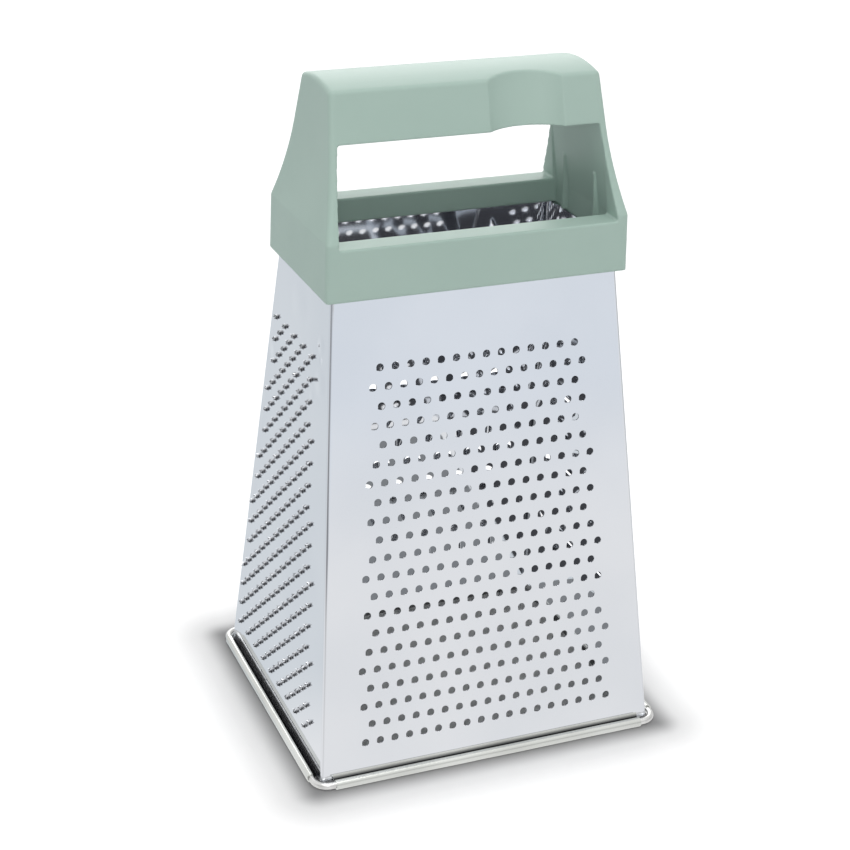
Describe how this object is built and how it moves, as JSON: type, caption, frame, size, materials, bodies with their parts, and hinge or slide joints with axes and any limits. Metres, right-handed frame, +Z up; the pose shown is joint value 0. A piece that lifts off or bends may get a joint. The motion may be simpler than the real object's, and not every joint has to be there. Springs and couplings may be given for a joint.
{
  "type": "box grater",
  "caption": "Box grater of folded, punched steel sheet with a sage green plastic carry handle and a wire rolled into its flared foot.",
  "frame": {"origin": "on the floor under the middle of the foot's rolled hem", "axes": "+Z up along the taper's axis, -Y out of the wide face with the fine round holes, -X out of the rasp face, +X out of the slicer face"},
  "size_m": [0.114, 0.0978, 0.2],
  "materials": {
    "sheet_steel": "bright polished stainless sheet",
    "wire_steel": "bright drawn wire",
    "sage_plastic": "satin moulded plastic"
  },
  "bodies": {
    "root": {"grater_body": "sheet_steel", "base_wire": "wire_steel", "handle": "sage_plastic"}
  },
  "joints": []
}
